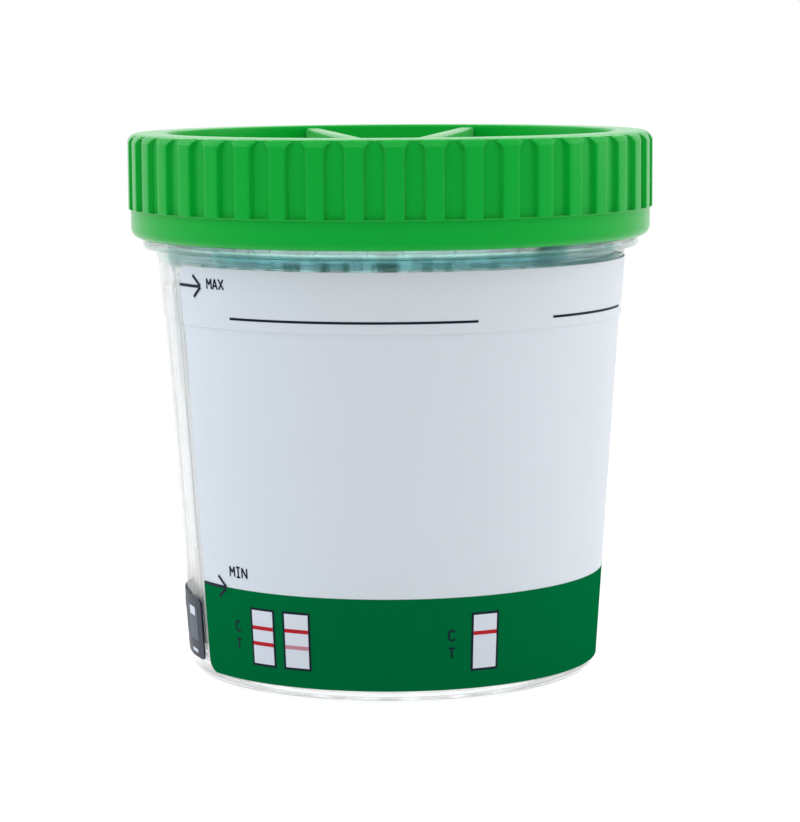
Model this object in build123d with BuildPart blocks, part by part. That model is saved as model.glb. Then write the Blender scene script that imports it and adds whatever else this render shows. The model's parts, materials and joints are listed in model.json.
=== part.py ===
from build123d import *
import os
from math import atan, cos, degrees, pi, radians, sin

os.makedirs("parts", exist_ok=True)

# A round clear test cup with a green screw lid, a wrap label, a temperature strip and a ring of test strips
# held between the wall and a clear sleeve. Millimetres, +Z up, the origin at the middle of the cup's base.
# Angles round the cup start at the front (-Y) and grow towards +X.

# Cup wall, up to the lip under the lid
wall_radius = 30.25
wall_slope = 0.067
wall = 1.1
wall_height = 61.9
step_z = 52.8
step = 0.25
step_rise = 0.2
floor_z = 2.6
foot_height = 0.8
foot_width = 2.6
foot_round = 1.5

# Neck: lip, groove, flange, and a thin threaded tube
lip = 0.25
lip_height = 0.5
groove = 0.55
groove_height = 0.8
neck_wall = 1.3
neck_height = 11.6
rim_round = 0.4

# Screw thread, right-handed
pitch = 4.5
turns = 1.25
thread_rise = 4.6
thread_room = 2.0
thread_gap = 0.7
tooth_base = 1.6
tooth_tip = 0.8
tooth_root = 0.3

# Lid
skirt = 1.6
lid_height = 15.4
lid_gap = 0.3
lid_top_round = 1.6
lid_foot_round = 1.5
smooth_height = 4.2
smooth_inset = 0.4
grip_count = 44
grip_depth = 0.8
grip_share = 0.48
grip_top_margin = 1.3
first_grip_angle = 4.99
lid_rim = 5.7
recess_depth = 3.0
plate = 1.4
rib_width = 2.2
rib_far = 12.6
rib_near = 3.0
rib_drop = 0.4

# Seal ring under the lid
seal = 0.8
seal_width = 3.4
seal_inset = 0.2

# Clear sleeve with the strip pockets
sleeve_gap = 0.15
sleeve = 2.1
sleeve_rise = 1.4
pocket_count = 24
pocket_width = 6.0
pocket_depth = 1.4
pocket_low = 1.4
pocket_rise = 0.2
first_pocket_angle = 1.5
inlet_width = 3.0
inlet_height = 2.4

# Test strips
strip_count = 10
first_strip_pocket = 10
strip_gap = 0.6
strip_low = 1.6
strip_top_gap = 0.9
card = 0.3
pad_rise = 0.6
pad_length = 14.0
membrane_rise = 0.25
wick_length = 16.0

# Wrap label and its print
glue = 0.1
label = 0.15
label_from = -64.0
label_to = 138.0
label_low = 1.7
label_margin = 0.4
label_corner = 2.0
ink = 0.08
band_top = 15.1
line_z = 54.5
rule = 0.35
arrow_angle = -57.5
arrow_length = 2.9
arrow_head = 2.0
arrow_rise = 1.7
picture_low = 4.4
picture_top = 13.2

# Temperature strip
thermo = 0.25
thermo_gap = 3.0
thermo_span = 72.0
thermo_low = 4.0
thermo_height = 8.9
window_count = 5
window_angle = 8.0
window_margin = 2.6
window_height = 5.0


def outside(z):
    """Outer radius of the cup wall at a height."""
    return wall_radius + wall_slope * z + (step if z > step_z else 0)


def radial(angle):
    """Upright plane through the cup's axis, x outward at the angle and y up."""
    turn = radians(angle)
    return Plane(origin=(0, 0, 0), x_dir=(sin(turn), -cos(turn), 0), z_dir=(-cos(turn), -sin(turn), 0))


def facing(angle, radius, tilt=0):
    """Plane square to the outward direction, x along the wall and y up it, leaning out by the tilt."""
    turn = radians(angle)
    rise = sin(radians(tilt))
    out = cos(radians(tilt))
    return Plane(
        origin=(radius * sin(turn), -radius * cos(turn), 0),
        x_dir=(cos(turn), sin(turn), 0),
        z_dir=(out * sin(turn), -out * cos(turn), -rise),
    )


def wall_line(low, top, lift):
    """Points up the outside of the wall, a lift away from it, over the small step where that lies between."""
    points = [(outside(low) + lift, low)]
    if low < step_z < top:
        points.append((outside(step_z) + lift, step_z))
        points.append((outside(step_z + step_rise) + lift, step_z + step_rise))
    points.append((outside(top) + lift, top))
    return points


def skin(low, top, start, end, lift, thickness):
    """Thin patch that lies round the wall between two heights and two angles."""
    inner = wall_line(low, top, lift)
    outer = wall_line(low, top, lift + thickness)
    with BuildPart() as patch:
        with BuildSketch(radial(start)):
            with BuildLine():
                Polyline(*inner, *reversed(outer), close=True)
            make_face()
        revolve(axis=Axis.Z, revolution_arc=end - start)
    return patch.part


def thread(radius, start_z, outward):
    """One helical tooth rooted in a wall of this radius, pointing outward (1) or inward (-1)."""
    with BuildPart() as tooth:
        with BuildLine() as path:
            Helix(pitch=pitch, height=pitch * turns, radius=radius, center=(0, 0, start_z))
        with BuildSketch(Plane(origin=path.line @ 0, x_dir=(outward, 0, 0), z_dir=path.line % 0)):
            with BuildLine():
                Polyline(
                    (-tooth_root, -tooth_base / 2),
                    (0, -tooth_base / 2),
                    (tooth_height, -tooth_tip / 2),
                    (tooth_height, tooth_tip / 2),
                    (0, tooth_base / 2),
                    (-tooth_root, tooth_base / 2),
                    close=True,
                )
            make_face()
        sweep(path=path.line, is_frenet=True)
    return tooth.part


def finish(part, name):
    """Names a piece and writes its file."""
    part.label = name
    export_step(part, f"parts/{name}.step")


lean = degrees(atan(wall_slope))
lip_z = wall_height
flange_z = lip_z + lip_height + groove_height
rim_z = flange_z + neck_height
thread_z = flange_z + thread_rise
lid_top = rim_z + seal + plate + recess_depth
lid_foot = lid_top - lid_height
label_top = lip_z - label_margin

lip_radius = outside(lip_z) + lip
groove_radius = outside(lip_z) - groove
neck_bore = outside(lip_z) - step - wall
neck_radius = neck_bore + neck_wall
skirt_bore = neck_radius + thread_room
flange_radius = skirt_bore + lid_gap
tooth_height = thread_room - thread_gap
lid_radius = skirt_bore + skirt + grip_depth
recess_radius = lid_radius - lid_rim


# Cup: a tapered moulded wall on a raised foot, with a flange and a threaded neck
with BuildPart() as cup_body:
    with BuildSketch(Plane.XZ):
        with BuildLine():
            Polyline(
                (0, foot_height),
                (outside(0) - foot_round - foot_width, foot_height),
                (outside(0) - foot_round - foot_width + foot_height / 2, 0),
                (outside(0) - foot_round, 0),
                (outside(foot_round), foot_round),
                *wall_line(foot_round + 0.1, lip_z, 0),
                (lip_radius, lip_z),
                (lip_radius, lip_z + lip_height),
                (groove_radius, lip_z + lip_height),
                (groove_radius, flange_z),
                (flange_radius, flange_z),
                (flange_radius, lid_foot - lid_gap),
                (neck_radius, lid_foot - lid_gap),
                (neck_radius, rim_z),
                (neck_bore, rim_z),
                (neck_bore, lip_z + lip_height),
                (outside(floor_z) - wall, floor_z),
                (0, floor_z),
                close=True,
            )
        make_face()
    revolve(axis=Axis.Z)
    rim_edges = cup_body.edges().filter_by(GeomType.CIRCLE).group_by(Axis.Z)[-1]
    fillet(rim_edges, rim_round)
    add(thread(neck_radius, thread_z, 1))
finish(cup_body.part, "cup_body")

# Lid: a knurled screw cap with a smooth lower band and a recessed top that two slanted ribs cross
with BuildPart() as lid:
    with BuildSketch(Plane.XZ):
        with BuildLine():
            Polyline(
                (0, lid_top - recess_depth - plate),
                (skirt_bore, lid_top - recess_depth - plate),
                (skirt_bore, lid_foot),
                (lid_radius - smooth_inset, lid_foot),
                (lid_radius - smooth_inset, lid_foot + smooth_height),
                (lid_radius, lid_foot + smooth_height),
                (lid_radius, lid_top),
                (recess_radius, lid_top),
                (recess_radius, lid_top - recess_depth),
                (0, lid_top - recess_depth),
                close=True,
            )
        make_face()
    revolve(axis=Axis.Z)
    top_edge = lid.edges().filter_by(GeomType.CIRCLE).group_by(Axis.Z)[-1].sort_by(SortBy.RADIUS)
    foot_edge = lid.edges().filter_by(GeomType.CIRCLE).group_by(Axis.Z)[0].sort_by(SortBy.RADIUS)
    fillet(top_edge[-1], lid_top_round)
    fillet(foot_edge[-1], lid_foot_round)
    grip_width = 2 * pi * lid_radius / grip_count * grip_share
    grip_low = lid_foot + smooth_height
    grip_arch = lid_top - grip_top_margin - grip_width / 2
    first_turn = first_grip_angle - 90
    with Locations((0, 0, (grip_low + grip_arch) / 2)):
        with PolarLocations(lid_radius - grip_depth + 1, grip_count, start_angle=first_turn):
            Box(2, grip_width, grip_arch - grip_low, mode=Mode.SUBTRACT)
    with Locations((0, 0, grip_arch)):
        with PolarLocations(lid_radius - grip_depth + 1, grip_count, start_angle=first_turn):
            Cylinder(grip_width / 2, 2, rotation=(0, 90, 0), mode=Mode.SUBTRACT)
    rib_lean = degrees(atan((rib_far - rib_near) / (2 * recess_radius)))
    rib_middle = (rib_far + rib_near) / 2
    rib_height = recess_depth - rib_drop
    for side in (-1, 1):
        with Locations(Location((side * rib_middle, 0, lid_top - recess_depth), (0, 0, -side * rib_lean))):
            Box(rib_width, 1.95 * recess_radius, rib_height, align=(Align.CENTER, Align.CENTER, Align.MIN))
    add(thread(skirt_bore, thread_z - pitch / 2, -1))
finish(lid.part, "lid")

# Seal: a flat ring between the cup's rim and the lid
with BuildPart() as lid_seal:
    with BuildSketch(Plane.XY.offset(rim_z)):
        Circle(neck_radius - seal_inset)
        Circle(neck_radius - seal_inset - seal_width, mode=Mode.SUBTRACT)
    extrude(amount=seal)
finish(lid_seal.part, "lid_seal")

# Sleeve: a clear tapered ring that stands on the floor, with a pocket for a strip every few degrees
with BuildPart() as strip_sleeve:
    sleeve_low = outside(floor_z) - wall - sleeve_gap
    sleeve_high = sleeve_low + wall_slope * (lip_z - floor_z)
    with BuildSketch(Plane.XZ):
        with BuildLine():
            Polyline(
                (sleeve_low - sleeve, floor_z),
                (sleeve_low, floor_z),
                (sleeve_high, lip_z),
                (sleeve_high, lip_z + sleeve_rise),
                (sleeve_high - sleeve, lip_z + sleeve_rise),
                close=True,
            )
        make_face()
    revolve(axis=Axis.Z)
    pocket_radius = sleeve_low - pocket_depth - wall_slope * floor_z
    arch_z = lip_z + pocket_rise - pocket_width / 2
    for place in range(pocket_count):
        angle = first_pocket_angle + place * 360 / pocket_count
        with BuildSketch(facing(angle, pocket_radius, lean)):
            with Locations((0, floor_z + pocket_low)):
                Rectangle(pocket_width, arch_z - floor_z - pocket_low, align=(Align.CENTER, Align.MIN))
            with Locations((0, arch_z)):
                Circle(pocket_width / 2)
        extrude(amount=pocket_depth + 1, mode=Mode.SUBTRACT)
        with BuildSketch(facing(angle, pocket_radius, lean)):
            with Locations((0, floor_z + pocket_low + inlet_height / 2)):
                Rectangle(inlet_width, inlet_height)
        extrude(amount=-sleeve, mode=Mode.SUBTRACT)
finish(strip_sleeve.part, "strip_sleeve")


def layer(angle, low, length, lift, thickness):
    """One flat layer of a test strip, a lift above the floor of its pocket."""
    with BuildPart() as piece:
        with BuildSketch(facing(angle, pocket_radius, lean).offset(lift)):
            with Locations((0, floor_z + low)):
                Rectangle(pocket_width - 2 * strip_gap, length, align=(Align.CENTER, Align.MIN))
        extrude(amount=thickness)
    return piece.part


# Test strips: a backing card that carries a sample pad, a membrane and an absorbent pad
card_length = arch_z - floor_z - strip_low - strip_top_gap
membrane_low = strip_low + pad_length
membrane_length = card_length - pad_length - wick_length
wick_low = membrane_low + membrane_length
for number in range(strip_count):
    strip_angle = first_pocket_angle + (first_strip_pocket + number) * 360 / pocket_count
    name = f"strip_{number + 1:02d}"
    finish(layer(strip_angle, strip_low, card_length, 0, card), f"{name}_card")
    finish(layer(strip_angle, strip_low, pad_length, card, pad_rise), f"{name}_sample_pad")
    finish(layer(strip_angle, membrane_low, membrane_length, card, membrane_rise), f"{name}_membrane")
    finish(layer(strip_angle, wick_low, wick_length, card, pad_rise), f"{name}_absorbent_pad")


def rounded(sheet, heights):
    """The sheet with its corners rounded at these heights, each given with the way into the sheet from it."""
    with BuildPart() as trimmed:
        add(sheet)
        for angle, side in ((label_from, 1), (label_to, -1)):
            for height, rise in heights:
                with BuildSketch(facing(angle, wall_radius - 2)):
                    with Locations((0, height)):
                        Rectangle(2 * label_corner, 2 * label_corner)
                    with Locations((side * label_corner, height + rise * label_corner)):
                        Circle(label_corner, mode=Mode.SUBTRACT)
                extrude(amount=10, mode=Mode.SUBTRACT)
    return trimmed.part


# Label: one sheet wrapped on the wall, with a coloured field along its foot
face = glue + label
sheet = skin(label_low, label_top, label_from, label_to, glue, label)
field = skin(label_low, band_top, label_from, label_to, face, ink)
finish(rounded(sheet, ((label_low, 1), (label_top, -1))), "label")
finish(rounded(field, ((label_low, 1),)), "label_band")

# Print on the sheet: two ruled lines to write on
for name, start, end in (("name_line", -43.5, 21.5), ("date_line", 41.5, 78.0)):
    finish(skin(line_z - rule / 2, line_z + rule / 2, start, end, face, ink), name)


def arrow(height):
    """Printed arrow near the label's left edge, from a shaft and two strokes."""
    with BuildPart() as mark:
        add(skin(height - arrow_head, height + arrow_head, arrow_angle - 8, arrow_angle + 8, face, ink))
        with BuildSketch(facing(arrow_angle, wall_radius - 2)):
            with Locations((0, height)):
                Rectangle(arrow_length, rule)
            for turn in (-1, 1):
                with Locations((arrow_length / 2 - arrow_head / 3, height + turn * arrow_head / 3)):
                    Rectangle(arrow_head, rule, rotation=-turn * 45)
        extrude(amount=20, mode=Mode.INTERSECT)
    return mark.part


finish(arrow(label_top - arrow_head - 0.9), "max_arrow")
finish(arrow(band_top + arrow_rise), "min_arrow")

# Print on the field: three small pictures of a strip
for number, (left, right) in enumerate(((-50.0, -42.8), (-39.5, -32.2), (25.5, 32.6))):
    finish(skin(picture_low, picture_top, left, right, face + ink, ink), f"pictogram_{number + 1}")

# Temperature strip: a dark adhesive strip beside the label, with a row of windows
thermo_to = label_from - thermo_gap
thermo_top = thermo_low + thermo_height
finish(skin(thermo_low, thermo_top, thermo_to - thermo_span, thermo_to, glue, thermo), "temperature_strip")
for number in range(window_count):
    middle = thermo_to - (number + 0.5) * thermo_span / window_count
    ends = (middle - window_angle / 2, middle + window_angle / 2)
    low = thermo_low + window_margin
    finish(skin(low, low + window_height, *ends, glue + thermo, ink), f"temperature_window_{number + 1}")
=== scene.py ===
"""Clear test cup with a green screw lid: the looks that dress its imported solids.

Lengths in the dataclasses are millimetres, and meshes are made in metres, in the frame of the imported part. Angles
round the cup are degrees from the front (-Y) towards the right (+X).
"""

from __future__ import annotations

import json
import logging
import math
from dataclasses import dataclass, field
from enum import Enum

import bmesh
import bpy
from mathutils import Matrix, Vector

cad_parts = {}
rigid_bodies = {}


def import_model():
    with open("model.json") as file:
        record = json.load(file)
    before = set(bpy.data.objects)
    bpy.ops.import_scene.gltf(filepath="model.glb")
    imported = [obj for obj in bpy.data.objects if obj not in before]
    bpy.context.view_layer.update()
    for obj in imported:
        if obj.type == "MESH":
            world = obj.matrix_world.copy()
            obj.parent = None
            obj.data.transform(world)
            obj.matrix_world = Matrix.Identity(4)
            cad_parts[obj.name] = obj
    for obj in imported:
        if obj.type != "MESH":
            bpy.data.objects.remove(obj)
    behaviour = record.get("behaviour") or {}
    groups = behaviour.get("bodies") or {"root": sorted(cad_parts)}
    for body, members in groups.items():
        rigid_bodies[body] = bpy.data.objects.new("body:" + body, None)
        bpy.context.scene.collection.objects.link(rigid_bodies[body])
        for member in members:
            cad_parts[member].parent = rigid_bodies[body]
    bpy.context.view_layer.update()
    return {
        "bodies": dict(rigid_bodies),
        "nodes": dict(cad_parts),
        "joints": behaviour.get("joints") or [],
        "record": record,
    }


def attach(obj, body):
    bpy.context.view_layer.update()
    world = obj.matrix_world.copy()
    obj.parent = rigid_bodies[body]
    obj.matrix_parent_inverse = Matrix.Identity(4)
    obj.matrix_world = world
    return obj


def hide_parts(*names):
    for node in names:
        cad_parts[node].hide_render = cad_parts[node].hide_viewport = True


LOG = logging.getLogger("test_cup")
MM = 0.001
SHARP_ANGLE = math.radians(38)
ROUND_STEPS = 8
ARC_ANGLES = range(10, 91, 10)
SMALLEST_MERGE = 0.0005
PATTERN_MERGE = 0.002
DEGENERATE = 1e-7
HAIR = 1e-6
COLUMN_ANGLE = 1.25
STROKE_CUT = 0.8

FINE_DETAIL = 4.0
BROAD_GRAIN = 18.0
BROAD_DETAIL = 2.0
NOISE_SPAN = (0.3, 0.7)
FIBRE_STRETCH = (1, 1, 0.25)
RELIEF_STRENGTH = 0.6
SHEEN_ROUGHNESS = 0.5
# Heights of the band where painted green light from the lid is mixed into the clear plastic.
LID_LIGHT_RISE = (60.8, 61.9)
LID_LIGHT_FALL = (65.4, 64.4)

Point2 = tuple[float, float]
Point3 = tuple[float, float, float]
Colour = tuple[float, float, float]
Stroke = tuple[Point2, Point2]


class Body(Enum):
    """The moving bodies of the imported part."""

    CUP = "cup"
    SEAL = "seal"
    LID = "lid"


class Texture(Enum):
    """What the small surface detail of a finish looks like."""

    MOULDED = "moulded"
    FIBRE = "fibre"
    FILM = "film"


@dataclass(frozen=True)
class Finish:
    """One surface finish, made as a procedural material on Object coordinates."""

    name: str
    colour: Colour
    roughness: float
    texture: Texture = Texture.MOULDED
    grain: float = 0.8
    relief: float = 0.01
    spread: float = 0.08
    tone: float = 0.04
    transmission: float = 0.0
    cover: float = 1.0
    # Colour of a band painted into the clear plastic under the lid: painted green light from the lid.
    upper: Colour | None = None
    ior: float = 1.5
    specular: float = 0.5
    sheen: float = 0.0

    def build(self) -> bpy.types.Material:
        """Makes the material, or returns the one that was made before.

        Returns:
            The material, with noise in its roughness, colour and relief.
        """
        name = f"finish_{self.name}"
        known = bpy.data.materials.get(name)
        if known is not None:
            return known
        material = bpy.data.materials.new(name)
        material.use_nodes = True
        tree = material.node_tree
        shader = tree.nodes["Principled BSDF"]
        shader.inputs["Base Color"].default_value = (*self.colour, 1.0)
        shader.inputs["Roughness"].default_value = self.roughness
        shader.inputs["IOR"].default_value = self.ior
        shader.inputs["Transmission Weight"].default_value = self.transmission
        shader.inputs["Alpha"].default_value = self.cover
        shader.inputs["Specular IOR Level"].default_value = self.specular
        shader.inputs["Sheen Weight"].default_value = self.sheen
        shader.inputs["Sheen Roughness"].default_value = SHEEN_ROUGHNESS
        place = tree.nodes.new("ShaderNodeTexCoord")
        stretch = tree.nodes.new("ShaderNodeMapping")
        stretch.inputs["Scale"].default_value = FIBRE_STRETCH if self.texture is Texture.FIBRE else (1, 1, 1)
        tree.links.new(place.outputs["Object"], stretch.inputs["Vector"])
        fine = self._noise(tree, stretch, self.grain, FINE_DETAIL)
        broad = self._noise(tree, stretch, BROAD_GRAIN, BROAD_DETAIL)
        self._roughen(tree, shader, broad)
        self._tint(tree, shader, fine if self.texture is Texture.FIBRE else broad)
        # Painted green light from the lid, in a band under it.
        if self.upper is not None:
            self._paint_lid_light(tree, shader, place)
        relief = tree.nodes.new("ShaderNodeBump")
        relief.inputs["Strength"].default_value = RELIEF_STRENGTH
        relief.inputs["Distance"].default_value = self.relief * MM
        tree.links.new(fine.outputs["Fac"], relief.inputs["Height"])
        tree.links.new(relief.outputs["Normal"], shader.inputs["Normal"])
        return material

    def _noise(self, tree: bpy.types.NodeTree, place: bpy.types.Node, size: float, detail: float) -> bpy.types.Node:
        """Adds a noise of one feature size.

        Args:
            tree: The material's node tree.
            place: The node that gives the coordinates.
            size: Feature size in millimetres.
            detail: Number of finer layers.

        Returns:
            The noise node.
        """
        noise = tree.nodes.new("ShaderNodeTexNoise")
        noise.inputs["Scale"].default_value = 1 / (size * MM)
        noise.inputs["Detail"].default_value = detail
        tree.links.new(place.outputs["Vector"], noise.inputs["Vector"])
        return noise

    def _ramp(self, tree: bpy.types.NodeTree, value: bpy.types.NodeSocket, source: Point2,
              target: Point2 = (0.0, 1.0)) -> bpy.types.NodeSocket:
        """Maps a value from one range to another, and no further than its ends.

        Args:
            tree: The material's node tree.
            value: The socket that gives the value.
            source: The range that the value is taken from.
            target: The range that it is mapped to.

        Returns:
            The socket that gives the mapped value.
        """
        span = tree.nodes.new("ShaderNodeMapRange")
        span.inputs["From Min"].default_value, span.inputs["From Max"].default_value = source
        span.inputs["To Min"].default_value, span.inputs["To Max"].default_value = target
        tree.links.new(value, span.inputs["Value"])
        return span.outputs["Result"]

    def _mix(self, tree: bpy.types.NodeTree, shader: bpy.types.Node, share: bpy.types.NodeSocket, first: Colour,
             second: Colour) -> None:
        """Mixes two colours into the base colour.

        Args:
            tree: The material's node tree.
            shader: The shader that is coloured.
            share: The socket that gives the share of the second colour.
            first: Colour at a share of 0.
            second: Colour at a share of 1.
        """
        mix = tree.nodes.new("ShaderNodeMix")
        mix.data_type = "RGBA"
        mix.inputs[6].default_value = (*first, 1.0)
        mix.inputs[7].default_value = (*second, 1.0)
        tree.links.new(share, mix.inputs[0])
        tree.links.new(mix.outputs[2], shader.inputs["Base Color"])

    def _roughen(self, tree: bpy.types.NodeTree, shader: bpy.types.Node, noise: bpy.types.Node) -> None:
        """Varies the roughness with a noise.

        Args:
            tree: The material's node tree.
            shader: The shader whose roughness varies.
            noise: The noise.
        """
        limits = (max(0.0, self.roughness - self.spread), self.roughness + self.spread)
        rough = self._ramp(tree, noise.outputs["Fac"], NOISE_SPAN, limits)
        tree.links.new(rough, shader.inputs["Roughness"])

    def _tint(self, tree: bpy.types.NodeTree, shader: bpy.types.Node, noise: bpy.types.Node) -> None:
        """Varies the colour a little with a noise.

        Args:
            tree: The material's node tree.
            shader: The shader whose colour varies.
            noise: The noise.
        """
        if self.tone > 0:
            darker = tuple(part * (1 - self.tone) for part in self.colour)
            lighter = tuple(min(1.0, part * (1 + self.tone)) for part in self.colour)
            self._mix(tree, shader, noise.outputs["Fac"], darker, lighter)

    def _paint_lid_light(self, tree: bpy.types.NodeTree, shader: bpy.types.Node, place: bpy.types.Node) -> None:
        """Paints the clear edges between the label and the lid a deeper green: painted green light from the lid.

        Args:
            tree: The material's node tree.
            shader: The shader that is tinted.
            place: The node that gives the Object coordinates.
        """
        # The band between these heights gets the painted green light from the lid.
        parts = tree.nodes.new("ShaderNodeSeparateXYZ")
        tree.links.new(place.outputs["Object"], parts.inputs["Vector"])
        both = tree.nodes.new("ShaderNodeMath")
        both.operation = "MULTIPLY"
        for socket, (start, end) in zip(both.inputs, (LID_LIGHT_RISE, LID_LIGHT_FALL)):
            tree.links.new(self._ramp(tree, parts.outputs["Z"], (start * MM, end * MM)), socket)
        self._mix(tree, shader, both.outputs["Value"], self.colour, self.upper)


# The upper colours of the clear finishes are painted green light from the lid, in a band under it.
CLEAR = Finish("clear_moulding", (0.97, 0.99, 1.0), 0.04, grain=6.0, relief=0.01, spread=0.02, tone=0.0,
               transmission=1.0, cover=0.5, upper=(0.10, 0.50, 0.38), ior=1.25)
CLEAR_SLEEVE = Finish("clear_sleeve", (0.95, 0.98, 1.0), 0.05, grain=5.0, relief=0.01, spread=0.02, tone=0.0,
                      transmission=1.0, cover=0.6, upper=(0.10, 0.34, 0.46), ior=1.25)
LID_GREEN = Finish("lid_green", (0.0, 0.455, 0.042), 0.2, grain=0.5, relief=0.002, spread=0.03, tone=0.03,
                   specular=0.08, sheen=0.12)
SEAL_FOAM = Finish("seal_foam", (0.86, 0.86, 0.84), 0.8, Texture.FIBRE, grain=0.3, relief=0.05)
LABEL_SHEET = Finish("label_sheet", (0.80, 0.845, 0.90), 0.42, Texture.FILM, grain=0.35, relief=0.004, tone=0.01,
                     specular=0.3)
LABEL_GREEN = Finish("label_green", (0.0004, 0.162, 0.046), 0.45, Texture.FILM, grain=0.35, relief=0.003, spread=0.04,
                     tone=0.02, specular=0.0)
PRINT_DARK = Finish("print_dark", (0.006, 0.012, 0.028), 0.5, Texture.FILM, grain=0.3, relief=0.002, specular=0.1)
PRINT_WHITE = Finish("print_white", (0.80, 0.84, 0.92), 0.5, Texture.FILM, grain=0.35, relief=0.003, tone=0.01,
                     specular=0.2)
PRINT_RED = Finish("print_red", (0.55, 0.015, 0.025), 0.5, Texture.FILM, grain=0.3, relief=0.002, specular=0.1)
PRINT_PALE_RED = Finish("print_pale_red", (0.62, 0.27, 0.33), 0.5, Texture.FILM, grain=0.3, relief=0.002,
                        specular=0.1)
DARK_FILM = Finish("dark_film", (0.02, 0.03, 0.05), 0.4, Texture.FILM, grain=0.5, relief=0.003, specular=0.1)
WINDOW_FILM = Finish("window_film", (0.09, 0.115, 0.15), 0.4, Texture.FILM, grain=0.5, relief=0.003,
                     specular=0.1)
STRIP_CARD = Finish("strip_card", (0.82, 0.82, 0.80), 0.55, Texture.FIBRE, grain=0.25, relief=0.01)
SAMPLE_PAD = Finish("sample_pad", (0.86, 0.84, 0.77), 0.9, Texture.FIBRE, grain=0.22, relief=0.08, tone=0.06)
MEMBRANE = Finish("membrane", (0.90, 0.90, 0.89), 0.7, Texture.FIBRE, grain=0.12, relief=0.01, tone=0.01)
ABSORBENT_PAD = Finish("absorbent_pad", (0.88, 0.88, 0.85), 0.92, Texture.FIBRE, grain=0.25, relief=0.08, tone=0.05)
HEADER_TAPE = Finish("header_tape", (0.82, 0.85, 0.88), 0.38, Texture.FILM, grain=0.4, relief=0.005)


@dataclass(frozen=True)
class Corner:
    """A corner of a turned outline: radius from the axis, height, and how much it is rounded."""

    radius: float
    height: float
    rounding: float = 0.0


def turned_outline(corners: list[Corner]) -> list[Point2]:
    """Rounds the corners of an outline that starts and ends on the axis or runs back to its start.

    Args:
        corners: The outline's corners, in order.

    Returns:
        Points (radius, height) with an arc at each rounded corner.
    """
    points: list[Point2] = []
    for index, corner in enumerate(corners):
        here = Vector((corner.radius, corner.height))
        if corner.rounding <= 0:
            points.append(tuple(here))
            continue
        before = Vector((corners[index - 1].radius, corners[index - 1].height))
        after_corner = corners[(index + 1) % len(corners)]
        after = Vector((after_corner.radius, after_corner.height))
        into = (before - here).normalized()
        out = (after - here).normalized()
        half = into.angle(out) / 2
        reach = corner.rounding / math.tan(half)
        centre = here + (into + out).normalized() * (corner.rounding / math.sin(half))
        start = here + into * reach - centre
        end = here + out * reach - centre
        for step in range(ROUND_STEPS + 1):
            spoke = start.normalized().slerp(end.normalized(), step / ROUND_STEPS) * corner.rounding
            points.append(tuple(centre + spoke))
    return points


def turned(radius: float, angle: float, height: float) -> Point3:
    """Point in metres at a radius, an angle from the front and a height."""
    turn = math.radians(angle)
    return (radius * math.sin(turn) * MM, -radius * math.cos(turn) * MM, height * MM)


def finished_object(name: str, mesh: bpy.types.Mesh, finish: Finish, merge: float = 0.0) -> bpy.types.Object:
    """Closes, orients and shades a mesh and links it as an object at the origin.

    Args:
        name: The piece's name.
        mesh: Its mesh, in metres.
        finish: Its finish.
        merge: Distance in millimetres within which points are joined.

    Returns:
        The new object.
    """
    work = bmesh.new()
    work.from_mesh(mesh)
    bmesh.ops.remove_doubles(work, verts=work.verts, dist=max(merge, SMALLEST_MERGE) * MM)
    bmesh.ops.dissolve_degenerate(work, edges=work.edges, dist=DEGENERATE)
    bmesh.ops.recalc_face_normals(work, faces=work.faces)
    work.to_mesh(mesh)
    work.free()
    mesh.shade_smooth()
    mesh.set_sharp_from_angle(angle=SHARP_ANGLE)
    mesh.materials.clear()
    mesh.materials.append(finish.build())
    piece = bpy.data.objects.new(name, mesh)
    bpy.context.scene.collection.objects.link(piece)
    return piece


def grid_mesh(name: str, rows: list[list[Point3]], loop_rows: bool, loop_columns: bool) -> bpy.types.Mesh:
    """Mesh of quads through rows of points.

    Args:
        name: The mesh's name.
        rows: Rows of as many points each, in metres.
        loop_rows: Whether the last row joins the first.
        loop_columns: Whether each row's end joins its start.

    Returns:
        The mesh.
    """
    columns = len(rows[0])
    faces = []
    for row in range(len(rows) if loop_rows else len(rows) - 1):
        above = (row + 1) % len(rows)
        for column in range(columns if loop_columns else columns - 1):
            beside = (column + 1) % columns
            faces.append((row * columns + column, row * columns + beside, above * columns + beside,
                          above * columns + column))
    mesh = bpy.data.meshes.new(name)
    mesh.from_pydata([point for row in rows for point in row], [], faces)
    return mesh


def close_ends(mesh: bpy.types.Mesh) -> None:
    """Fills the open ends of a swept mesh.

    Args:
        mesh: The mesh, which is changed in place.
    """
    work = bmesh.new()
    work.from_mesh(mesh)
    bmesh.ops.holes_fill(work, edges=[edge for edge in work.edges if edge.is_boundary])
    work.to_mesh(mesh)
    work.free()


def freed_mesh(name: str, work: bmesh.types.BMesh) -> bpy.types.Mesh:
    """Moves a work mesh into a new mesh.

    Args:
        name: The new mesh's name.
        work: The work mesh, which is freed.

    Returns:
        The new mesh.
    """
    mesh = bpy.data.meshes.new(name)
    work.to_mesh(mesh)
    work.free()
    return mesh


def lathe(name: str, outline: list[Point2], finish: Finish, columns: int = 288) -> bpy.types.Object:
    """Turned piece from an outline.

    Args:
        name: The piece's name.
        outline: Points (radius, height), from axis to axis.
        finish: Its finish.
        columns: Number of faces round the axis.

    Returns:
        The piece.
    """
    rows = [[turned(radius, 360 * column / columns, height) for column in range(columns)]
            for radius, height in outline]
    return finished_object(name, grid_mesh(name, rows, False, True), finish)


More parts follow.
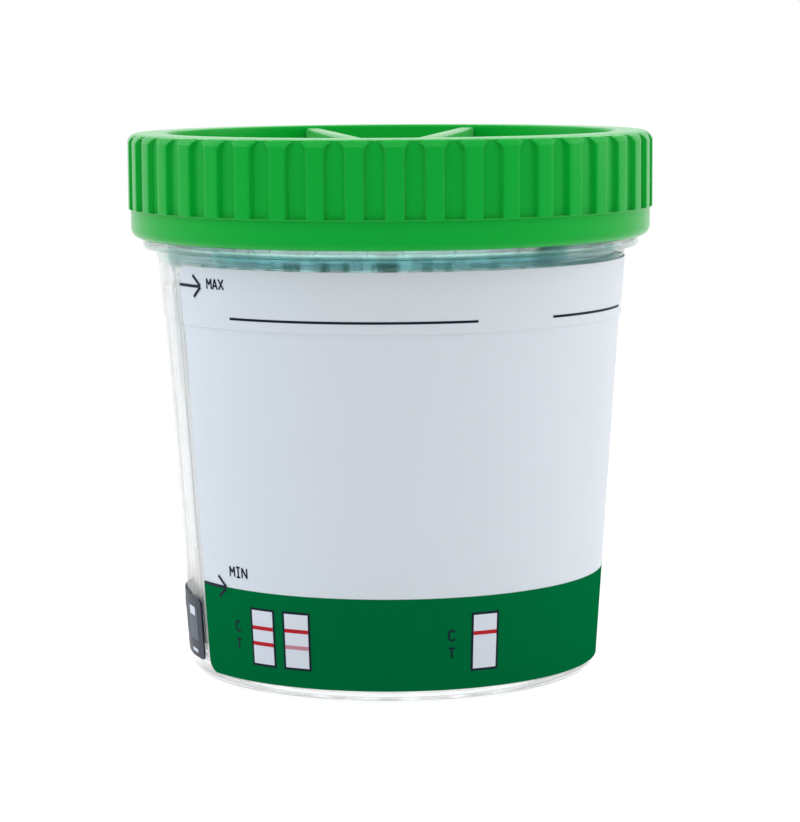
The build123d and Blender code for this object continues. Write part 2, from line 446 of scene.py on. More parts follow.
class RoundPattern:
    """Geometry Nodes tree that repeats a mesh round the axis and joins the copies."""

    def __init__(self) -> None:
        """Builds the tree with its named inputs."""
        self.tree = bpy.data.node_groups.new("repeat round the axis", "GeometryNodeTree")
        self.sockets: dict[str, str] = {}
        for label, kind in (("Geometry", "NodeSocketGeometry"), ("Count", "NodeSocketInt"),
                            ("Start", "NodeSocketFloat"), ("Step", "NodeSocketFloat"),
                            ("Merge Distance", "NodeSocketFloat"), ("Material", "NodeSocketMaterial")):
            socket = self.tree.interface.new_socket(label, in_out="INPUT", socket_type=kind)
            self.sockets[label] = socket.identifier
        self.tree.interface.new_socket("Geometry", in_out="OUTPUT", socket_type="NodeSocketGeometry")
        nodes = self.tree.nodes
        source = nodes.new("NodeGroupInput")
        index = nodes.new("GeometryNodeInputIndex")
        turn = nodes.new("ShaderNodeMath")
        turn.operation = "MULTIPLY_ADD"
        points = nodes.new("GeometryNodePoints")
        rotation = nodes.new("ShaderNodeCombineXYZ")
        copies = nodes.new("GeometryNodeInstanceOnPoints")
        real = nodes.new("GeometryNodeRealizeInstances")
        merged = nodes.new("GeometryNodeMergeByDistance")
        painted = nodes.new("GeometryNodeSetMaterial")
        result = nodes.new("NodeGroupOutput")
        join = self.tree.links.new
        join(source.outputs["Count"], points.inputs["Count"])
        join(index.outputs["Index"], turn.inputs[0])
        join(source.outputs["Step"], turn.inputs[1])
        join(source.outputs["Start"], turn.inputs[2])
        join(turn.outputs["Value"], rotation.inputs["Z"])
        join(points.outputs[0], copies.inputs["Points"])
        join(source.outputs["Geometry"], copies.inputs["Instance"])
        join(rotation.outputs["Vector"], copies.inputs["Rotation"])
        join(copies.outputs["Instances"], real.inputs["Geometry"])
        join(real.outputs["Geometry"], merged.inputs["Geometry"])
        join(source.outputs["Merge Distance"], merged.inputs["Distance"])
        join(merged.outputs["Geometry"], painted.inputs["Geometry"])
        join(source.outputs["Material"], painted.inputs["Material"])
        join(painted.outputs["Geometry"], result.inputs["Geometry"])

    def repeat(self, name: str, mesh: bpy.types.Mesh, finish: Finish, count: int, start: float,
               step: float) -> bpy.types.Object:
        """Repeats one mesh round the axis.

        Args:
            name: The finished piece's name.
            mesh: The mesh at the front, in metres.
            finish: The piece's finish.
            count: Number of copies.
            start: Angle of the first copy, in degrees.
            step: Angle from each copy to the next, in degrees.

        Returns:
            The finished piece, as a plain mesh.
        """
        seed = bpy.data.objects.new(name + "_seed", mesh)
        bpy.context.scene.collection.objects.link(seed)
        modifier = seed.modifiers.new("pattern", "NODES")
        modifier.node_group = self.tree
        modifier[self.sockets["Count"]] = count
        modifier[self.sockets["Start"]] = math.radians(start)
        modifier[self.sockets["Step"]] = math.radians(step)
        modifier[self.sockets["Merge Distance"]] = PATTERN_MERGE * MM
        modifier[self.sockets["Material"]] = finish.build()
        bpy.context.view_layer.update()
        graph = bpy.context.evaluated_depsgraph_get()
        plain = bpy.data.meshes.new_from_object(seed.evaluated_get(graph))
        seed.modifiers.remove(modifier)
        bpy.data.objects.remove(seed)
        return finished_object(name, plain, finish, PATTERN_MERGE)


@dataclass(frozen=True)
class Wall:
    """Outside of the cup's tapered wall, with the small step near its top."""

    radius: float = 30.25
    slope: float = 0.067
    step: float = 0.25
    step_height: float = 52.8
    step_rise: float = 0.2

    def outside(self, height: float) -> float:
        """Outer radius at a height."""
        share = min(1.0, max(0.0, (height - self.step_height) / self.step_rise))
        return self.radius + self.slope * height + self.step * share

    def rows(self, low: float, top: float, spacing: float = 1.5) -> list[float]:
        """Heights of the mesh rows between two heights, with rows at the step.

        Args:
            low: Lowest height.
            top: Highest height.
            spacing: Largest distance between rows.

        Returns:
            The heights, from low to top.
        """
        count = max(1, math.ceil((top - low) / spacing))
        heights = [low + (top - low) * index / count for index in range(count + 1)]
        for extra in (self.step_height, self.step_height + self.step_rise):
            if low < extra < top:
                heights.append(extra)
        return sorted(set(heights))

    def at(self, angle: float, height: float, lift: float) -> Point3:
        """Point in metres off the wall by a lift."""
        return turned(self.outside(height) + lift, angle, height)


@dataclass
class ClearCup:
    """The moulded clear cup with its foot, lip, flange and threaded neck."""

    wall: Wall = field(default_factory=Wall)
    thickness: float = 1.1
    floor: float = 2.6
    foot_height: float = 0.8
    foot_width: float = 2.6
    foot_round: float = 1.5
    lip_height: float = 61.9
    lip: float = 0.25
    lip_rise: float = 0.5
    groove: float = 0.55
    groove_rise: float = 0.8
    flange_radius: float = 36.85
    flange_top: float = 64.3
    neck_radius: float = 34.55
    neck_bore: float = 33.25
    rim: float = 74.8
    foot_slant: float = 0.4
    edge_round: float = 0.3
    lip_round: float = 0.1
    lip_top_round: float = 0.2
    groove_round: float = 0.15
    neck_round: float = 0.2
    rim_round: float = 0.4
    funnel_round: float = 2.0
    floor_round: float = 1.2
    thread_start: float = 67.8

    def build(self) -> bpy.types.Object:
        """Makes the cup's shell.

        Returns:
            The shell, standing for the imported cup.
        """
        wall = self.wall
        foot = wall.outside(0) - self.foot_round
        groove_radius = wall.outside(self.lip_height) - self.groove
        lip_radius = wall.outside(self.lip_height) + self.lip
        lip_top = self.lip_height + self.lip_rise
        flange_low = lip_top + self.groove_rise
        step_top = wall.step_height + wall.step_rise
        outline = turned_outline([
            Corner(0, self.foot_height),
            Corner(foot - self.foot_width, self.foot_height, self.edge_round),
            Corner(foot - self.foot_width + self.foot_slant, 0, self.edge_round),
            Corner(wall.outside(0), 0, self.foot_round),
            Corner(wall.outside(wall.step_height), wall.step_height),
            Corner(wall.outside(step_top), step_top),
            Corner(wall.outside(self.lip_height), self.lip_height, self.lip_round),
            Corner(lip_radius, self.lip_height, self.lip_round),
            Corner(lip_radius, lip_top, self.lip_top_round),
            Corner(groove_radius, lip_top, self.groove_round),
            Corner(groove_radius, flange_low, self.groove_round),
            Corner(self.flange_radius, flange_low, self.edge_round),
            Corner(self.flange_radius, self.flange_top, self.edge_round),
            Corner(self.neck_radius, self.flange_top, self.neck_round),
            Corner(self.neck_radius, self.rim, self.rim_round),
            Corner(self.neck_bore, self.rim, self.rim_round),
            Corner(self.neck_bore, lip_top, self.funnel_round),
            Corner(wall.outside(self.floor) - self.thickness, self.floor, self.floor_round),
            Corner(0, self.floor),
        ])
        shell = lathe("cup_shell", outline, CLEAR)
        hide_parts("cup_body")
        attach(shell, Body.CUP.value)
        return shell


@dataclass
class ScrewTooth:
    """One helical thread tooth."""

    root_radius: float
    start: float
    outward: int
    pitch: float = 4.5
    turns: float = 1.25
    base: float = 1.6
    tip: float = 0.8
    height: float = 1.3
    root: float = 0.15
    start_angle: float = 90.0
    steps: int = 120
    fade: int = 8

    def build(self, name: str, finish: Finish, slot: str, body: Body) -> bpy.types.Object:
        """Sweeps the tooth's section along its helix.

        Args:
            name: The piece's name.
            finish: Its finish.
            slot: The record's material slot; not used.
            body: The body that it rides on.

        Returns:
            The tooth, closed at both ends.
        """
        rows = []
        for step in range(self.steps + 1):
            share = step / self.steps
            angle = self.start_angle + 360 * self.turns * share
            middle = self.start + self.pitch * self.turns * share
            grown = min(1.0, (step + 1) / self.fade, (self.steps + 1 - step) / self.fade)
            height = self.height * grown
            section = ((-self.root, -self.base / 2), (0, -self.base / 2), (height, -self.tip / 2),
                       (height, self.tip / 2), (0, self.base / 2), (-self.root, self.base / 2))
            rows.append([turned(self.root_radius + self.outward * out, angle, middle + rise)
                         for out, rise in section])
        mesh = grid_mesh(name, rows, False, True)
        close_ends(mesh)
        tooth = finished_object(name, mesh, finish)
        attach(tooth, body.value)
        return tooth


@dataclass
class ScrewLid:
    """The green lid: grip grooves, smooth lower band, recessed top with two slanted ribs."""

    radius: float = 38.95
    foot: float = 64.6
    top: float = 80.0
    bore: float = 36.55
    smooth_height: float = 4.2
    smooth_inset: float = 0.4
    top_round: float = 1.6
    foot_round: float = 1.5
    grip_count: int = 44
    grip_depth: float = 0.8
    grip_share: float = 0.53
    grip_margin: float = 0.35
    first_grip: float = 4.99
    recess_radius: float = 33.25
    recess_depth: float = 3.0
    plate: float = 1.4
    edge: float = 0.16
    rib_width: float = 2.2
    rib_far: float = 12.6
    rib_near: float = 3.0
    rib_drop: float = 0.4
    rib_reach: float = 2.04
    rib_round: float = 0.35
    thread_start: float = 65.55
    under_round: float = 0.4
    bore_round: float = 0.25
    band_round: float = 0.12
    ledge: float = 0.1
    ledge_round: float = 0.15
    shoulder: float = 1.2
    rim_round: float = 0.45
    recess_round: float = 0.5
    row_span: float = 0.3
    row_clear: float = 0.02
    groove_start: float = 0.15
    groove_row: float = 0.22
    narrowest: float = 0.12
    closed_share: float = 0.05
    groove_side: tuple[Point2, ...] = ((1.0, 0.0), (0.35, 0.06), (-0.15, 0.3), (-0.5, 0.8), (-1.1, 1.0))
    groove_middle: float = 0.35
    mark_radius: float = 0.55
    mark_sink: float = 0.16
    mark_rise: float = 1.9
    mark_flat: float = 0.5

    def build(self, pattern: RoundPattern) -> list[bpy.types.Object]:
        """Makes the lid's pieces.

        Args:
            pattern: The tree that repeats a sector round the axis.

        Returns:
            The shell, its ribs, its thread and the small mould mark.
        """
        period = 360 / self.grip_count
        sector = grid_mesh("lid_sector", self._sector_rows(period), False, False)
        shell = pattern.repeat("lid_shell", sector, LID_GREEN, self.grip_count, self.first_grip, period)
        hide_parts("lid")
        pieces = [shell, *(self._rib(side) for side in (-1, 1)), self._mould_mark()]
        for piece in pieces:
            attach(piece, Body.LID.value)
        tooth = ScrewTooth(self.bore, self.thread_start, -1)
        pieces.append(tooth.build("lid_thread", LID_GREEN, "lid_plastic", Body.LID))
        return pieces

    def _outline(self) -> list[Point2]:
        """Outline from the axis under the plate, round the skirt, to the axis over the plate.

        Returns:
            Points (radius, height).
        """
        band = self.radius - self.smooth_inset
        band_top = self.foot + self.smooth_height
        under = self.top - self.recess_depth - self.plate
        return turned_outline([
            Corner(0, under),
            Corner(self.bore, under, self.under_round),
            Corner(self.bore, self.foot, self.bore_round),
            Corner(band, self.foot, self.foot_round),
            Corner(band, band_top, self.band_round),
            Corner(self.radius, band_top + self.ledge, self.ledge_round),
            Corner(self.radius, self.top - self.top_round - self.shoulder),
            Corner(self.radius, self.top, self.top_round),
            Corner(self.recess_radius, self.top, self.rim_round),
            Corner(self.recess_radius, self.top - self.recess_depth, self.recess_round),
            Corner(0, self.top - self.recess_depth),
        ])

    def _sector_rows(self, period: float) -> list[list[Point3]]:
        """Rows of one sector, with a grip groove in the middle.

        Args:
            period: Angle of the sector, in degrees.

        Returns:
            Rows of points in metres, centred on the front.
        """
        half_width = math.pi * self.radius / self.grip_count * self.grip_share
        arch = self.top - self.grip_margin - half_width
        groove_low = self.foot + self.smooth_height
        floor = self.radius - self.grip_depth
        outline = self._outline()
        rises = [groove_low + self.groove_row,
                 *(arch + half_width * math.sin(math.radians(angle)) for angle in (0, *ARC_ANGLES))]
        dense: list[Point2] = []
        for here, there in zip(outline, outline[1:]):
            dense.append(here)
            outer = min(here[0], there[0]) > floor
            upright = abs(there[0] - here[0]) < self.row_span
            if outer and upright and there[1] > groove_low and there[1] - here[1] > self.row_span:
                dense.extend((here[0], rise) for rise in sorted(rises)
                             if here[1] + self.row_clear < rise < there[1] - self.row_clear)
        dense.append(outline[-1])
        rows = []
        for radius, height in dense:
            inside = groove_low + self.groove_start <= height <= arch + half_width and radius > floor
            above = max(0.0, (height - arch) / half_width)
            share = math.sqrt(max(0.0, 1 - above * above)) if inside else 1.0
            groove = math.degrees(half_width / self.radius) * max(share, self.narrowest)
            depth = floor if inside and share > self.closed_share else radius
            rows.append(self._sector_row(period / 2, groove, radius, height, depth))
        return rows

    def _sector_row(self, half: float, groove: float, radius: float, height: float, floor: float) -> list[Point3]:
        """One row across a sector.

        Args:
            half: Half the sector's angle.
            groove: Half the groove's angle at this height.
            radius: Radius of the ribs.
            height: Height of the row.
            floor: Radius of the groove's floor, or of the ribs where there is no groove.

        Returns:
            Points in metres from the sector's left to its right.
        """
        soft = math.degrees(self.edge / self.radius)
        profile = [(half, 0.0), ((half + groove) / 2, 0.0),
                   *((groove + soft * share, depth) for share, depth in self.groove_side),
                   (groove * self.groove_middle, 1.0)]
        left = [(-angle, depth) for angle, depth in profile]
        right = [(angle, depth) for angle, depth in reversed(profile)]
        return [turned(radius - depth * (radius - floor), angle, height) for angle, depth in left + right]

    def _rib(self, side: int) -> bpy.types.Object:
        """One slanted rib across the recessed top.

        Args:
            side: -1 for the left rib and 1 for the right one.

        Returns:
            The rib, with soft edges.
        """
        work = bmesh.new()
        bmesh.ops.create_cube(work, size=1.0)
        height = self.recess_depth - self.rib_drop
        length = self.rib_reach * self.recess_radius
        lean = math.atan((self.rib_far - self.rib_near) / (2 * self.recess_radius))
        place = (Matrix.Translation((side * (self.rib_far + self.rib_near) / 2 * MM, 0,
                                     (self.top - self.recess_depth + height / 2) * MM))
                 @ Matrix.Rotation(-side * lean, 4, "Z")
                 @ Matrix.Diagonal((self.rib_width * MM, length * MM, height * MM, 1)))
        bmesh.ops.transform(work, matrix=place, verts=work.verts)
        upper = [edge for edge in work.edges if min(v.co.z for v in edge.verts) > (self.top - 1) * MM]
        bmesh.ops.bevel(work, geom=upper, offset=self.rib_round * MM, segments=3, profile=0.5, affect="EDGES")
        name = "lid_rib_left" if side < 0 else "lid_rib_right"
        return finished_object(name, freed_mesh(name, work), LID_GREEN)

    def _mould_mark(self) -> bpy.types.Object:
        """Small round mark that the mould leaves on the smooth band.

        Returns:
            The mark.
        """
        work = bmesh.new()
        bmesh.ops.create_uvsphere(work, u_segments=20, v_segments=10, radius=self.mark_radius * MM)
        band = self.radius - self.smooth_inset
        place = (Matrix.Translation((0, (self.mark_sink - band) * MM, (self.foot + self.mark_rise) * MM))
                 @ Matrix.Diagonal((1, self.mark_flat, 1, 1)))
        bmesh.ops.transform(work, matrix=place, verts=work.verts)
        return finished_object("lid_mould_mark", freed_mesh("lid_mould_mark", work), LID_GREEN)


@dataclass
class StripSleeve:
    """The clear inner sleeve with its ring of arched pockets."""

    cup: ClearCup = field(default_factory=ClearCup)
    gap: float = 0.15
    thickness: float = 2.1
    rise: float = 1.4
    count: int = 24
    first: float = 1.5
    pocket_width: float = 6.0
    pocket_depth: float = 1.4
    pocket_low: float = 1.4
    pocket_rise: float = 0.2
    inlet_width: float = 3.0
    inlet_height: float = 2.4
    inlet_margin: float = 0.35
    inlet_column: int = 5
    soft: float = 0.12
    foot_row: float = 0.5
    top_row: float = 0.6
    wall_rows: int = 12

    def build(self, pattern: RoundPattern) -> bpy.types.Object:
        """Makes the sleeve from one pocket's sector.

        Args:
            pattern: The tree that repeats a sector round the axis.

        Returns:
            The sleeve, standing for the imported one.
        """
        sleeve = pattern.repeat("sleeve_shell", self._sector(), CLEAR_SLEEVE, self.count, self.first,
                                360 / self.count)
        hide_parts("strip_sleeve")
        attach(sleeve, Body.CUP.value)
        return sleeve

    def outer(self, height: float) -> float:
        """Outer radius of the sleeve at a height.

        Args:
            height: The height.

        Returns:
            The radius, which grows no more over the cup's lip.
        """
        cup = self.cup
        low = cup.wall.outside(cup.floor) - cup.thickness - self.gap
        return low + cup.wall.slope * (min(height, cup.lip_height) - cup.floor)

    def pocket_floor(self, height: float) -> float:
        """Distance of a pocket's flat floor from the axis at a height."""
        return self.outer(height) - self.pocket_depth

    def _sector(self) -> bpy.types.Mesh:
        """One sector, closed but for its two cut sides.

        Returns:
            The sector's mesh, centred on the front.
        """
        half = 180 / self.count
        reach = self.pocket_width / 2
        floor, lip_height = self.cup.floor, self.cup.lip_height
        low = floor + self.pocket_low
        arch = lip_height + self.pocket_rise - reach
        inlet_top = low + self.inlet_height
        heights = [floor, floor + self.foot_row, low, low + self.soft, inlet_top]
        heights += [inlet_top + (arch - inlet_top) * (step + 1) / self.wall_rows for step in range(self.wall_rows)]
        heights += [arch + reach * math.sin(math.radians(angle)) for angle in ARC_ANGLES]
        top = lip_height + self.rise
        heights += [top - self.top_row, top]
        inlet = self.inlet_width / 2
        outer_rows, inner_rows = [], []
        for height in heights:
            above = max(0.0, (height - arch) / reach)
            open_here = low < height < arch + reach - HAIR
            share = math.sqrt(max(0.0, 1 - above * above)) if open_here else 1.0
            pocket = max(reach * share, inlet + self.inlet_margin)
            outside = self.outer(height)
            angle = math.degrees(math.asin(pocket / outside))
            edge = math.degrees(self.soft / outside)
            mouth = math.degrees(inlet / outside)
            marks = [(half, 0.0), ((half + angle) / 2, 0.0), (angle + edge, 0.0), (angle, 0.25),
                     (angle - edge, 1.0), (mouth, 1.0), (mouth / 2, 1.0), (0.0, 1.0)]
            line = [(-turn, depth) for turn, depth in marks] + [(turn, depth) for turn, depth in reversed(marks[:-1])]
            floor_here = self.pocket_floor(height)
            sunk = open_here and reach * share > inlet
            outer = []
            for turn, depth in line:
                flat = floor_here / math.cos(math.radians(turn))
                outer.append(turned(outside - depth * (outside - flat) if sunk else outside, turn, height))
            outer_rows.append(outer)
            inner_rows.append([turned(outside - self.thickness, turn, height) for turn, _ in line])
        return self._join_walls(outer_rows, inner_rows, heights, low, inlet_top)

    def _join_walls(self, outer_rows: list[list[Point3]], inner_rows: list[list[Point3]], heights: list[float],
                    low: float, inlet_top: float) -> bpy.types.Mesh:
        """Joins the sector's two walls at the top, the bottom and round the inlet.

        Args:
            outer_rows: Rows of the outer wall.
            inner_rows: Rows of the inner wall.
            heights: Height of each row.
            low: Height of the inlet's foot.
            inlet_top: Height of the inlet's top.

        Returns:
            The mesh.
        """
        columns = len(outer_rows[0])
        first, last = self.inlet_column, columns - 1 - self.inlet_column
        points = [p for row in outer_rows for p in row] + [p for row in inner_rows for p in row]
        shift = len(outer_rows) * columns
        faces = []

        def spot(row: int, column: int, inner: bool) -> int:
            """Index of a point."""
            return row * columns + column + (shift if inner else 0)

        def across(row: int, column: int, row_step: int, column_step: int) -> None:
            """Adds a face from the outer wall to the inner one."""
            end = (row + row_step, column + column_step)
            faces.append((spot(row, column, False), spot(*end, False), spot(*end, True), spot(row, column, True)))

        holes = [row for row in range(len(heights) - 1)
                 if low <= heights[row] and heights[row + 1] <= inlet_top + HAIR]
        for row in range(len(heights) - 1):
            for column in range(columns - 1):
                if row in holes and first <= column < last:
                    continue
                for inner in (False, True):
                    faces.append((spot(row, column, inner), spot(row, column + 1, inner),
                                  spot(row + 1, column + 1, inner), spot(row + 1, column, inner)))
        for row in (0, len(heights) - 1):
            for column in range(columns - 1):
                across(row, column, 0, 1)
        for row in holes:
            for column in (first, last):
                across(row, column, 1, 0)
        for row in (holes[0], holes[-1] + 1):
            for column in range(first, last):
                across(row, column, 0, 1)
        mesh = bpy.data.meshes.new("sleeve_sector")
        mesh.from_pydata(points, [], faces)
        return mesh


@dataclass
class TestStrips:
    """The ten strips in the open pockets, and the tape over the head of each."""

    sleeve: StripSleeve = field(default_factory=StripSleeve)
    count: int = 10
    first_pocket: int = 10
    card: float = 0.3
    pad: float = 0.6
    tape: float = 0.12
    tape_low: float = 43.5
    tape_top: float = 57.6
    width: float = 4.8

    def build(self, frame: dict, pattern: RoundPattern) -> list[bpy.types.Object]:
        """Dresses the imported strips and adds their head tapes.

        Args:
            pattern: The tree that repeats a mesh round the axis.

        Returns:
            The new pieces.
        """
        finishes = {"card": STRIP_CARD, "sample_pad": SAMPLE_PAD, "membrane": MEMBRANE,
                    "absorbent_pad": ABSORBENT_PAD}
        for name, node in frame["nodes"].items():
            for layer, finish in finishes.items():
                if name.startswith("strip_") and name.endswith(layer):
                    paint(node, finish)
        sleeve = self.sleeve
        step = 360 / sleeve.count
        start = sleeve.first + self.first_pocket * step
        rows = []
        off = self.card + self.pad
        for out in (off, off + self.tape):
            for height in (self.tape_low, self.tape_top):
                radius = sleeve.pocket_floor(height) + out
                rows.append([(x * MM, -radius * MM, height * MM) for x in (-self.width / 2, self.width / 2)])
        order = [rows[0], rows[1], rows[3], rows[2]]
        mesh = grid_mesh("tape", order, True, False)
        close_ends(mesh)
        tapes = pattern.repeat("strip_head_tapes", mesh, HEADER_TAPE, self.count, start, step)
        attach(tapes, Body.CUP.value)
        return [tapes]


def paint(node: bpy.types.Object, finish: Finish) -> None:
    """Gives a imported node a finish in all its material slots.

    Args:
        node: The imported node.
        finish: The finish.
    """
    if not node.material_slots:
        node.data.materials.append(finish.build())
    for place in node.material_slots:
        place.material = finish.build()


@dataclass(frozen=True)
class Patch:
    """A thin patch on the wall between two angles and two heights."""

    name: str
    start: float
    end: float
    low: float
    top: float
    lift: float
    thickness: float
    finish: Finish
    slot: str
    corner_low: float = 0.0
    corner_top: float = 0.0
    wall: Wall = field(default_factory=Wall)

    def build(self) -> bpy.types.Object:
        """Makes the patch as a closed sheet.

        Returns:
            The patch, riding on the cup.
        """
        heights = self.wall.rows(self.low, self.top)
        for rounding, edge, way in ((self.corner_low, self.low, 1), (self.corner_top, self.top, -1)):
            if rounding > 0:
                heights += [edge + way * rounding * (1 - math.cos(math.radians(a))) for a in ARC_ANGLES]
        columns = max(2, math.ceil(abs(self.end - self.start) / COLUMN_ANGLE))
        outer, inner = [], []
        for height in sorted(set(round(h, 5) for h in heights)):
            inset = self._inset(height)
            span = [self.start + inset + (self.end - self.start - 2 * inset) * column / columns
                    for column in range(columns + 1)]
            outer.append([self.wall.at(angle, height, self.lift + self.thickness) for angle in span])
            inner.append([self.wall.at(angle, height, self.lift) for angle in span])
        mesh = bpy.data.meshes.new(self.name)
        mesh.from_pydata(*closed_sheet(outer, inner))
        patch = finished_object(self.name, mesh, self.finish)
        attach(patch, Body.CUP.value)
        return patch

    def _inset(self, height: float) -> float:
        """Angle by which the patch's ends draw in at a height, for its rounded corners.

        Args:
            height: The height.

        Returns:
            The angle in degrees.
        """
        for rounding, distance in ((self.corner_low, height - self.low), (self.corner_top, self.top - height)):
            if rounding > 0 and distance < rounding:
                draw = rounding - math.sqrt(max(0.0, rounding ** 2 - (rounding - distance) ** 2))
                return math.degrees(draw / self.wall.outside(height))
        return 0.0


def closed_sheet(outer: list[list[Point3]], inner: list[list[Point3]]) -> tuple[list[Point3], list, list]:
    """Points and faces of a sheet with two sides and a rim.

    Args:
        outer: Rows of its outer side.
        inner: Rows of its inner side, as many as the outer ones.

    Returns:
        Points, an empty edge list and faces, as from_pydata takes them.
    """
    rows, columns = len(outer), len(outer[0])
    shift = rows * columns
    faces = []
    for row in range(rows - 1):
        for column in range(columns - 1):
            a = row * columns + column
            quad = (a, a + 1, a + 1 + columns, a + columns)
            faces.append(quad)
            faces.append(tuple(shift + i for i in reversed(quad)))
    rim = [(0, c) for c in range(columns)] + [(r, columns - 1) for r in range(1, rows)]
    rim += [(rows - 1, c) for c in range(columns - 2, -1, -1)] + [(r, 0) for r in range(rows - 2, 0, -1)]
    for here, there in zip(rim, rim[1:] + rim[:1]):
        a = here[0] * columns + here[1]
        b = there[0] * columns + there[1]
        faces.append((a, b, b + shift, a + shift))
    return [p for row in outer for p in row] + [p for row in inner for p in row], [], faces


@dataclass(frozen=True)
class Print:
    """Flat strokes wrapped on the label."""

    lift: float
    thickness: float = 0.03
    wall: Wall = field(default_factory=Wall)

    def strokes(self, name: str, angle: float, height: float, lines: list[Stroke],
                width: float) -> bpy.types.Object:
        """Straight strokes round a spot.

        Args:
            name: The piece's name.
            angle: The spot's angle.
            height: The spot's height.
            lines: Start and end of each stroke, in millimetres from the spot.
            width: Width of the strokes.

        Returns:
            The strokes as one piece.
        """
        work = bmesh.new()
        for start, end in lines:
            a, b = Vector(start), Vector(end)
            along = (b - a).normalized()
            across = Vector((-along.y, along.x)) * width / 2
            cuts = max(2, math.ceil((b - a).length / STROKE_CUT))
            outer, inner = [], []
            for side in (-1, 1):
                line = [a + (b - a) * cut / cuts + across * side for cut in range(cuts + 1)]
                outer.append([self._wrap(p, angle, height, self.thickness) for p in line])
                inner.append([self._wrap(p, angle, height, 0) for p in line])
            part = bpy.data.meshes.new("stroke")
            part.from_pydata(*closed_sheet(outer, inner))
            work.from_mesh(part)
            bpy.data.meshes.remove(part)
        piece = finished_object(name, freed_mesh(name, work), PRINT_DARK)
        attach(piece, Body.CUP.value)
        return piece

    def _wrap(self, spot: Vector, angle: float, height: float, out: float) -> Point3:
        """Wraps a flat point round the wall.

        Args:
            spot: The flat point, in millimetres from the place that it is drawn round.
            angle: Angle of that place.
            height: Height of that place.
            out: How far the point stands off the print's lower side.

        Returns:
            The point in metres.
        """
        there = height + spot.y
        turn = math.degrees(spot.x / (self.wall.outside(there) + self.lift))
        return self.wall.at(angle + turn, there, self.lift + out)


LETTERS: dict[str, tuple[Stroke, ...]] = {
    "M": (((0, 0), (0, 1.45)), ((0, 1.45), (0.48, 0.6)), ((0.48, 0.6), (0.96, 1.45)), ((0.96, 1.45), (0.96, 0))),
    "A": (((0, 0), (0.48, 1.45)), ((0.48, 1.45), (0.96, 0)), ((0.2, 0.45), (0.76, 0.45))),
    "X": (((0, 0), (0.96, 1.45)), ((0, 1.45), (0.96, 0))),
    "I": (((0.48, 0), (0.48, 1.45)), ((0.12, 0), (0.84, 0)), ((0.12, 1.45), (0.84, 1.45))),
    "T": (((0.48, 0), (0.48, 1.45)), ((0, 1.45), (0.96, 1.45))),
    "C": (((0.92, 1.2), (0.66, 1.45)), ((0.66, 1.45), (0.3, 1.45)), ((0.3, 1.45), (0, 1.1)), ((0, 1.1), (0, 0.35)),
          ((0, 0.35), (0.3, 0)), ((0.3, 0), (0.66, 0)), ((0.66, 0), (0.92, 0.25))),
    "N": (((0, 0), (0, 1.45)), ((0, 1.45), (0.96, 0)), ((0.96, 0), (0.96, 1.45))),
}


